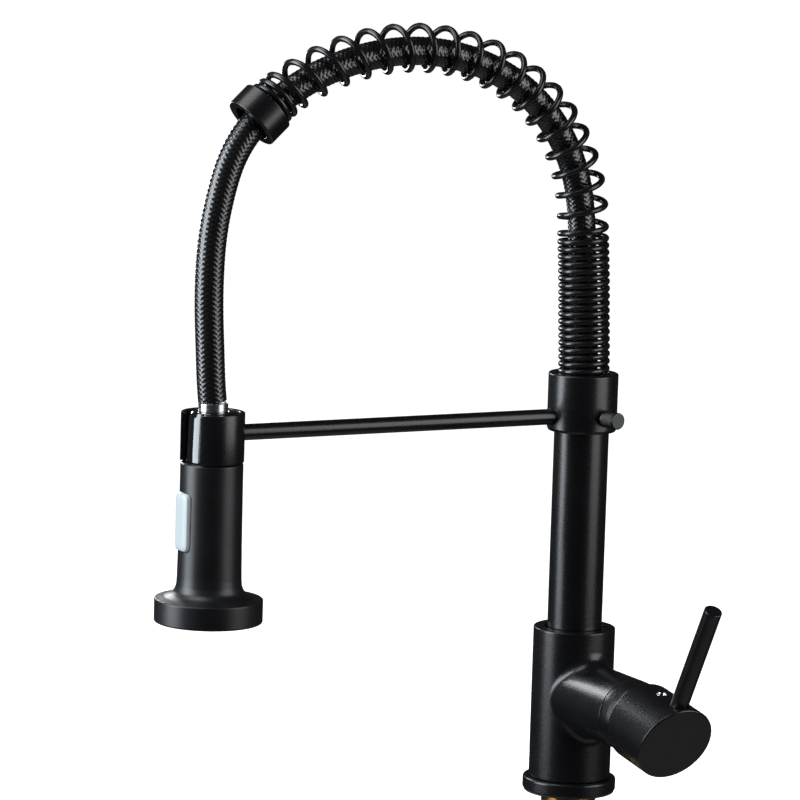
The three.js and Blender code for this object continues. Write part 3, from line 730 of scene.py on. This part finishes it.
# Two families of helical grooves cross on the head's side. The radius falls by
# depth * (1 - min(1, 1.6 * the lesser of |sin(n a / 2 + w x)| and |sin(n a / 2 - w x)|)),
# which fades out near both rims.
def makeThumbScrew(k, z, turn):
    head, start, end, knurls = k["thumbHead"], k["thumbStart"], k["thumbEnd"], k["knurls"]
    neck, tip = k["thumbNeck"], k["thumbFrom"]
    outline = softened([(0, tip), (neck, tip), (neck, start), (head, start), (head, end), (0, end)],
        [0, 0.2, 0.2, 0.5, 0.6, 0], 5)
    order = np.argmax(outline[:, 1] > end - 1.0)
    first, last = start + 1.0, end - 1.2  # the knurled stretch
    length = np.stack([np.full(k["thumbRings"], head), np.linspace(first, last, k["thumbRings"])], -1)
    outline = np.concatenate([outline[:order], length, outline[order:]])
    a = anglesOf(knurls * 8)[:, None]
    r, x = outline[None, :, 0], outline[None, :, 1]
    twist = x * knurls / (2 * head)
    one, two = (np.abs(np.sin(a * knurls / 2 + sign * twist)) for sign in (1, -1))
    fade = np.clip((x - first) / 0.5, 0, 1) * np.clip((last - x) / 0.5, 0, 1) * (r > head - 1e-6)
    r = r - k["knurlDepth"] * (1 - np.minimum(1, 1.6 * np.minimum(one, two))) * fade
    shape = laidAlong(gridOf(around(r, a, x), True), (1, 0, 0), (0, 0, z))
    makePiece("thumbScrew", [moved(shape, turn)], matteBlack, "collar_lock", ["thumb_screw"], sharp=40)


makeColumn(column)
print("column made")


# The docking ring is a bent bar, open from slotFrom to slotTo, in degrees from -Y towards +X.
dock = {"bore": 15, "slotFrom": -21, "slotTo": 40, "corner": 2.6, "edge": 0.45}


# A rounded rectangle carried round the head's axis. Near both cut ends its height follows the corner's
# circle and its thickness the edge's, so the ends close softly.
def makeDockingRing(k):
    low, high = span("docking_ring")
    front, rear = (corner[1] for corner in span("head_shell"))
    y0 = front + (rear - front) / 2
    outer, midZ = high[0], (high[2] + low[2]) / 2
    mid, half, thick = (k["bore"] + outer) / 2, (high[2] - low[2]) / 2, (outer - k["bore"]) / 2
    first, last = math.radians(k["slotTo"] - 90), math.radians(270 + k["slotFrom"])
    arc = (last - first) * mid
    near = k["corner"] * (1 - np.cos(np.linspace(0, np.pi / 2, 12)))
    near = np.concatenate([k["edge"] * (1 - np.cos(np.linspace(0, np.pi / 2, 6))), near[near > k["edge"]]])
    s = np.concatenate([near, np.linspace(near[-1], arc - near[-1], 110)[1:-1], (arc - near)[::-1]])
    e = np.minimum(s, arc - s)
    fromCorner = np.clip(k["corner"] - e, 0, k["corner"])
    tall = half - k["corner"] + np.sqrt(k["corner"] ** 2 - fromCorner**2)
    fromEdge = np.clip(k["edge"] - e, 0, k["edge"])
    drop = k["edge"] - np.sqrt(k["edge"] ** 2 - fromEdge**2)
    q = k["edge"]
    t = np.linspace(0, np.pi / 2, 5)
    quarter = np.stack([np.cos(t), np.sin(t)], axis=-1)
    corners = [quarter, quarter[::-1] * [-1, 1], quarter * [-1, -1], quarter[::-1] * [1, -1]]
    signs = [np.broadcast_to([a, b], (5, 2)) for a, b in ((1, 1), (-1, 1), (-1, -1), (1, -1))]
    arcs, signs = np.concatenate(corners), np.concatenate(signs)
    x, z = signs[None, :, 0], signs[None, :, 1]
    radial = x * (thick - q) + q * arcs[None, :, 0] - np.sign(x) * drop[:, None]
    upright = z * (tall[:, None] - q) + q * arcs[None, :, 1] - np.sign(z) * drop[:, None]
    a = first + s / mid
    points = around(mid + radial, a[:, None], upright + midZ) + [0, y0, 0]
    # the two ends close on their own middle line
    closeFirst, closeLast = points[:1].copy(), points[-1:].copy()
    for cap, angle in ((closeFirst, a[0]), (closeLast, a[-1])):
        cap[..., 0], cap[..., 1] = mid * math.cos(angle), mid * math.sin(angle) + y0
        cap[..., 2] = (cap[..., 2] - midZ) * 0.9 + midZ
    shape = gridOf(np.concatenate([closeFirst, points, closeLast]), False, True)
    ring = makePiece("dockingRing", [shape], matteBlack, "spout", ["docking_ring"], sharp=40)
    armLow, armHigh = span("docking_arm")
    hole = rod(armHigh[0] + column["play"], 0, 6, 0)
    cutAway(ring, [laidAlong(hole, (0, 1, 0), (0, y0 + 13, (armLow[2] + armHigh[2]) / 2))])


makeDockingRing(dock)
print("dock made")


# Places in the handle are from the pivot, along the cap's own tilted axes.
handle = {
    "pivot": (76, 0, 58.6), "tilt": 8.5, "faceTilt": 18.5, "radius": 23.1, "rear": 5,
    "face": 41.9, "edge": 0.9, "leverFoot": (40, 0, 20.5), "leverLean": 19.4,
    "leverRadius": 5.15, "leverLength": 71, "leverDepth": 14, "play": 0.55, "sides": 200,
    "inside": [(20.4, 19.6), (8, 22.4), (8, 17), (0, 17)],
    "socket": ((16, -3.9, -3.9), (26.4, 3.9, 3.9)),
    "plugAt": 21.5, "plugHole": (3.7, 17, 30, 0), "screwHole": (2.8, 3, 17.5, 0),
    "plug": [(0, 18), (3.45, 18), (3.45, 22.9), (2.5, 22.9), (2.2, 22.1), (0, 22)],
    "plugRounds": [0, 0.2, 0.25, 0.2, 0.2, 0],
}

bonnet = {
    "outline": [(13, 67.7), (21, 67.7), (21, 69.2), (20.9, 71), (20.5, 74.5), (19.8, 78), (18.4, 82),
        (16.4, 85), (14.5, 86), (13, 86)],
    "rounds": [0.2, 0.5, 3, 3, 6, 6, 4, 2, 1, 0.3],
}


# A turned crown between the branch and the handle cap.
def makeBonnet(k):
    shape = turned(softened(k["outline"], k["rounds"], 4), 160)
    shape = laidAlong(shape, (1, 0, 0), (0, 0, handle["pivot"][2]))
    makePiece("bonnet", [shape], matteBlack, "base", ["bonnet"], sharp=38)


# Along the cap's own axis x: a ball of the edge's radius rolls between the barrel and the slanted face
# n . (p - face) = 0. Its centre is at x = face + ((R - q) sin a sin tilt - q) / cos tilt at angle a.
def makeHandle(k):
    tilt = Matrix.Translation(k["pivot"]) @ Matrix.Rotation(math.radians(k["tilt"]), 4, "Y")
    R, q, slope = k["radius"], k["edge"], math.radians(k["faceTilt"])
    a = anglesOf(k["sides"])
    radial = np.stack([0 * a, np.cos(a), np.sin(a)], axis=-1)
    normal = np.array([math.cos(slope), 0, -math.sin(slope)])
    centreX = k["face"] + ((R - q) * np.sin(a) * math.sin(slope) - q) / math.cos(slope)
    centre = radial * (R - q) + np.stack([centreX, 0 * a, 0 * a], axis=-1)
    angle = np.arccos(np.clip(radial @ normal, -1, 1))[:, None, None]
    t = np.linspace(0, 1, 8)[None, :, None]
    edge = centre[:, None] + q * swept(radial[:, None], normal[None, None], angle, t)
    middle = np.array([k["face"], 0, 0])
    inwards = np.array([0.01, 0.03, 0.1, 0.25, 0.5, 0.75, 1])[None, :, None]
    face = edge[:, -1:] + (middle - edge[:, -1:]) * inwards
    tail = softened([(0, 50), (R, 50), (R, k["rear"]), (k["inside"][0][0], k["rear"]), *k["inside"]],
        [0, 0, 0.8, 0.5, 0.4, 0.4, 0.4, 0], 5)
    tail = tail[::-1]
    tail = tail[:len(tail) - np.argmax(tail[::-1, 1] < 30)]
    barrelX = np.linspace(0, 1, 24)[None, 1:-1] * (edge[:, 0, 0] - tail[-1, 1])[:, None] + tail[-1, 1]
    barrel = radial[:, None] * R + np.stack([barrelX, 0 * barrelX, 0 * barrelX], axis=-1)
    backX = tail[None, :, 1] + 0 * a[:, None]
    back = tail[None, :, :1] * radial[:, None] + np.stack([backX, 0 * backX, 0 * backX], axis=-1)
    skin = np.concatenate([back, barrel, edge, face], axis=1)
    skin = moved(gridOf(skin, True), tilt)
    cap = makePiece("handleCap", [skin], matteBlack, "handle", ["handle_cap"], sharp=38)
    lean = math.radians(k["leverLean"])
    foot = k["leverFoot"]
    up = (math.sin(lean), 0, math.cos(lean))
    atPlug = (k["plugAt"], 0, 0)
    cutters = [boxShape(*k["socket"])]
    cutters += [laidAlong(rod(*k[name]), (0, 0, 1), atPlug) for name in ("screwHole", "plugHole")]
    cutters += [laidAlong(rod(k["leverRadius"] + k["play"], -0.1, k["leverDepth"], 0), up, foot)]
    cutAway(cap, [moved(cutter, tilt) for cutter in cutters], 38)
    lever = laidAlong(rod(k["leverRadius"], 0, k["leverLength"], 0.6, 96), up, foot)
    makePiece("handleLever", [moved(lever, tilt)], matteBlack, "handle", ["handle_lever"])
    plug = laidAlong(turned(softened(k["plug"], k["plugRounds"], 4), 48), (0, 0, 1), atPlug)
    makePiece("handlePlug", [moved(plug, tilt)], chrome, "handle", ["handle_plug"])


# A box between two opposite corners.
def boxShape(low, high):
    x, y, z = zip(low, high)
    points = np.array([(a, b, c) for a in x for b in y for c in z], float)
    faces = np.array([(0, 1, 3, 2), (4, 6, 7, 5), (0, 4, 5, 1), (2, 3, 7, 6), (0, 2, 6, 4), (1, 5, 7, 3)])
    return points, faces


makeBonnet(bonnet)
makeHandle(handle)
print("handle made")


# Outlines in the head are pairs of radius and height; rounds are the radii of their corners.
head = {
    "y": -238, "mouth": 11.5, "shoulder": 16.8, "flangeTop": 130,
    "flare": [(17.65, 206.5), (17.7, 190), (17.9, 160), (18.2, 142), (18.5, 137.4), (19.8, 134.4),
        (21.9, 132.4), (25, 131.1), (28.5, 130.4)],
    "inside": [(28.4, 126.4), (14.6, 128.6), (14.6, 200), (11.5, 202)],
    "shellRounds": [0.3, 0.6, 0.8, 60, 60, 10, 5, 5, 5, 5, 8, 0.8, 1.1, 0.4, 0.4, 0.4, 0.4, 0.4],
    "window": {"corner": 3.3, "bevel": 0.01, "proud": 0.01, "front": 24, "back": -10.3},
    "windowPlay": (0.3, 0.45),
    "button": {"corner": 3, "bevel": 2, "proud": 0.2, "front": 19.9, "back": -11, "steps": 3},
    "neck": [(5, 203), (11.2, 203), (11.2, 207.7), (14.4, 207.7), (14.4, 212), (13.6, 233), (11.8, 236),
        (8.7, 236), (8.7, 221), (5, 221)],
    "neckRounds": [0.2, 0.2, 0.2, 0.5, 6, 2, 1, 0.5, 0.2, 0.2],
    "ferrule": [(4, 226), (8.35, 226), (8.35, 234.2), (8, 234.8), (8, 235.6), (8.35, 236.2),
        (8.35, 240.8), (7.9, 240.8), (7.9, 239.6), (4, 239.6)],
    "ferruleRounds": [0.2, 0.2, 0.3, 0.3, 0.3, 0.3, 0.2, 0.15, 0.1, 0.1],
}


# A plate with rounded corners on a cylinder: rings shrink from the outline to its middle line while
# the front comes forward to y = y0 - sqrt(front^2 - x^2).
def padOnCylinder(halfWide, halfHigh, corner, bevel, proud, front, back, y0, z0, steps=6):
    t = np.linspace(0, np.pi / 2, 9)
    outline = []
    for sx, sz, order in ((1, 1, 1), (-1, 1, -1), (-1, -1, 1), (1, -1, -1)):
        arc = np.stack([np.cos(t), np.sin(t)], axis=-1)[::order]
        outline.append([sx, sz] * ([halfWide - corner, halfHigh - corner] + corner * arc))
    outline = np.concatenate(outline)
    straight = halfHigh - halfWide
    core = np.stack([0 * outline[:, 0], np.clip(outline[:, 1], -straight, straight)], axis=-1)
    b = np.linspace(0, np.pi / 2, steps)
    inset = np.concatenate([[0], bevel * (1 - np.cos(b)), halfWide * np.array([0.4, 0.7, 1.0])])
    lift = np.concatenate([[0], proud * np.sin(b) + (1 - proud), [1, 1, 1]])
    share = inset[:, None, None] / halfWide
    flat = outline[None] * (1 - share) + core[None] * share
    depthFront = -np.sqrt(front**2 - flat[..., 0] ** 2)
    depth = back + (depthFront - back) * lift[:, None]
    points = np.stack([flat[..., 0], y0 + depth, z0 + flat[..., 1]], axis=-1)
    rear = points[:1] * [0, 1, 0] + np.stack([core[:, 0], 0 * core[:, 0], z0 + core[:, 1]], axis=-1)[None]
    return gridOf(np.concatenate([rear, points]), False, True)


# An outline turned round the head's axis.
def onHead(outline, rounds, steps, sides):
    return moved(turned(softened(outline, rounds, steps), sides), Matrix.Translation((0, head["y"], 0)))


def makeHead(k):
    low, high = span("head_shell")
    shell = [(k["mouth"], high[2]), (k["shoulder"], high[2]), *k["flare"], (high[0], k["flangeTop"]),
        (high[0], low[2]), (k["inside"][0][0], low[2]), *k["inside"]]
    piece = makePiece("headShell", [onHead(shell, k["shellRounds"], 6, 192)], plasticBlack, "spray_head",
        ["head_shell"])
    low, high = span("spray_button")
    place = {"y0": k["y"], "z0": (low[2] + high[2]) / 2}
    halfWide, halfHigh = high[0], (high[2] - low[2]) / 2
    sidePlay, endPlay = k["windowPlay"]
    cutAway(piece, [padOnCylinder(halfWide + sidePlay, halfHigh + endPlay, **k["window"], **place)])
    button = padOnCylinder(halfWide, halfHigh, **k["button"], **place)
    makePiece("sprayButton", [button], buttonGrey, "mode_button", ["spray_button"], sharp=24)
    neck = onHead(k["neck"], k["neckRounds"], 5, 128)
    makePiece("headNeck", [neck], glossBlack, "spray_head", ["head_neck"])
    ferrule = onHead(k["ferrule"], k["ferruleRounds"], 4, 96)
    makePiece("hoseFerrule", [ferrule], steel, "spray_head", ["hose_ferrule"])


# Rows of soft nozzle tips stand through the face plate; each tip is a short turned cone.
nozzles = {
    "rows": [(15.6, 14, 0), (19.6, 18, 0.5), (23.6, 22, 0)],  # radius, count, shift in steps
    "tip": 0.75, "foot": 1.15, "low": 116.7, "top": 118.4, "plateBore": 10.4, "step": 0.35,
}


def makeFace(k):
    low, high = span("face_plate")
    bore, raised = k["plateBore"], low[2] + k["step"]
    plate = [(bore, low[2]), (13.2, low[2]), (13.6, raised), (25.6, raised), (26, low[2]),
        (high[0], low[2]), (high[0], high[2]), (bore, high[2])]
    plate = onHead(plate, [0.3, 0.15, 0.15, 0.15, 0.15, 0.6, 0.3, 0.3], 3, 128)
    makePiece("facePlate", [plate], greyPlastic, "spray_head", ["face_plate"])
    cone = [(0, k["low"]), (k["tip"], k["low"]), (k["foot"], k["top"]), (0, k["top"])]
    cone = turned(softened(cone, [0, 0.25, 0.1, 0], 2), 10)
    tips = []
    for radius, count, shift in k["rows"]:
        for a in 2 * np.pi * (np.arange(count) + shift) / count:
            place = (radius * math.cos(a), head["y"] + radius * math.sin(a), 0)
            tips.append(moved(cone, Matrix.Translation(place)))
    makePiece("nozzleTips", tips, silicone, "spray_head")


aerator = {
    "rim": 9.9, "screen": 8.0, "mouth": 6.2, "lip": 2, "bars": 5, "spacing": 1.5, "reach": 8.2,
    "height": 1.6,
}


# A turned rim, and a grid of thin bars whose half length at offset s is sqrt(reach^2 - s^2).
def makeAerator(k):
    low, high = span("aerator")
    rim = [(k["screen"], low[2]), (k["rim"], low[2]), (k["rim"], high[2]), (k["mouth"], high[2]),
        (k["mouth"], high[2] - k["lip"]), (k["screen"], high[2] - k["lip"])]
    shapes = [onHead(rim, [0.4, 0.3, 0.3, 0.3, 0.2, 0.2], 4, 96)]
    level, y0 = low[2] + k["height"], head["y"]
    for s in np.arange(-k["bars"], k["bars"] + 1) * k["spacing"]:
        reach = math.sqrt(max(k["reach"] ** 2 - s**2, 0.2))
        shapes += [boxShape((-reach, y0 + s - 0.25, level), (reach, y0 + s + 0.25, level + 0.5)),
            boxShape((s - 0.25, y0 - reach, level + 0.45), (s + 0.25, y0 + reach, level + 0.95))]
    makePiece("aeratorScreen", shapes, greyPlastic, "spray_head", ["aerator"])


makeHead(head)
makeFace(nozzles)
makeAerator(aerator)
print("spray head made")


# CAD nodes that stay get a finish of their own.
kept = (
    (steel, "column_set_screw cartridge_pin handle_set_screw button_pin"),
    (rubber, "swivel_seal cartridge_seal neck_washer"),
    (ceramic, "cartridge_fixed_disc cartridge_moving_disc"),
    (brass, "cartridge_nut cartridge_stem hose_connector diverter_spool"),
    (silicone, "nozzle_mat"),
    (greyPlastic, "swivel_bush_lower swivel_bush_upper cartridge_housing cartridge_rotor spring_seat "
        "head_core flow_spreader check_valve"),
)
for finish, nodes in kept:
    for node in nodes.split():
        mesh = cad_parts[node].data
        mesh.materials.clear()
        mesh.materials.append(finish)
print("CAD nodes finished")


# The floor and the lights; the lights' angles are seen from the aim, azimuth from -Y towards +X.
studio = {
    "floor": 14, "floorDrop": 0.0004, "paper": ((0.9, 0.9, 0.9), (0.92, 0.92, 0.92)),
    "lights": [
        # name, azimuth, elevation, distance, width, height, power, colour
        ("leftBox", -15, 12, 1.5, 0.85, 1.5, 40, (0.86, 0.93, 1)),
        ("rightBox", 129, 14, 1.6, 1.1, 1.5, 18, (0.97, 0.98, 1)),
        ("topBox", -20, 64, 1.5, 1, 0.7, 8, (1, 1, 1)),
        ("backBox", -82, 12, 0.64, 0.24, 0.16, 1.6, (0.95, 0.97, 1)),
    ],
    "aim": (0, -0.11, 0.24),
    "room": 0.022,
    "bounce": 0.27,  # light that comes back up from the table
    "bounceFades": (-0.85, -0.62),  # between these heights of a ray's direction
}


# A ray from the camera sees a white room, and all others a dim one that is brighter straight below.
def makeWorld(k):
    world = bpy.data.worlds.new("whiteRoom")
    world.use_nodes = True
    tree = world.node_tree
    back = tree.nodes["Background"]
    rays = tree.nodes.new("ShaderNodeLightPath")
    mix = tree.nodes.new("ShaderNodeMix")
    mix.data_type = "FLOAT"
    whichRay, seenByOthers, seenByCamera = mix.inputs[0], mix.inputs[2], mix.inputs[3]
    seenByCamera.default_value = 1
    coords = tree.nodes.new("ShaderNodeTexCoord")
    parts = tree.nodes.new("ShaderNodeSeparateXYZ")
    link(tree, coords.outputs["Generated"], parts.inputs["Vector"])
    dim = ranged(tree, parts.outputs["Z"], k["room"] + k["bounce"], k["room"], *k["bounceFades"])
    link(tree, dim, seenByOthers)
    link(tree, rays.outputs["Is Camera Ray"], whichRay)
    back.inputs["Color"].default_value = (1, 1, 1, 1)
    link(tree, mix.outputs[0], back.inputs["Strength"])
    bpy.context.scene.world = world
    bpy.context.scene.view_settings.view_transform = "Standard"


def makeStudio(k):
    size = k["floor"]
    mesh = bpy.data.meshes.new("paleFloor")
    level = cadBox[0][2] - k["floorDrop"]
    corners = [(x * size, y * size, level) for x, y in ((-1, -1), (1, -1), (1, 1), (-1, 1))]
    mesh.from_pydata(corners, [], [(0, 1, 2, 3)])
    floor = bpy.data.objects.new("paleFloor", mesh)
    bpy.context.scene.collection.objects.link(floor)
    finish, tree, shader = newFinish("palePaper")
    link(tree, tinted(tree, cloud(tree, 60), *k["paper"]), shader.inputs["Base Color"])
    shader.inputs["Roughness"].default_value = 0.9
    shader.inputs["Emission Color"].default_value = (1, 1, 1, 1)
    shader.inputs["Emission Strength"].default_value = 1
    mesh.materials.append(finish)
    floor.visible_glossy = False
    floor.visible_diffuse = False
    for name, azimuth, elevation, distance, width, height, power, colour in k["lights"]:
        a, e = math.radians(azimuth), math.radians(elevation)
        toward = Vector((math.sin(a) * math.cos(e), -math.cos(a) * math.cos(e), math.sin(e)))
        data = bpy.data.lights.new(name, "AREA")
        data.shape, data.size, data.size_y = "RECTANGLE", width, height
        data.energy, data.color = power, colour
        lamp = bpy.data.objects.new(name, data)
        lamp.visible_camera = False
        lamp.location = Vector(k["aim"]) + toward * distance
        lamp.rotation_mode = "QUATERNION"
        lamp.rotation_quaternion = toward.to_track_quat("Z", "Y")
        bpy.context.scene.collection.objects.link(lamp)


makeStudio(studio)
makeWorld(studio)
print("studio made")
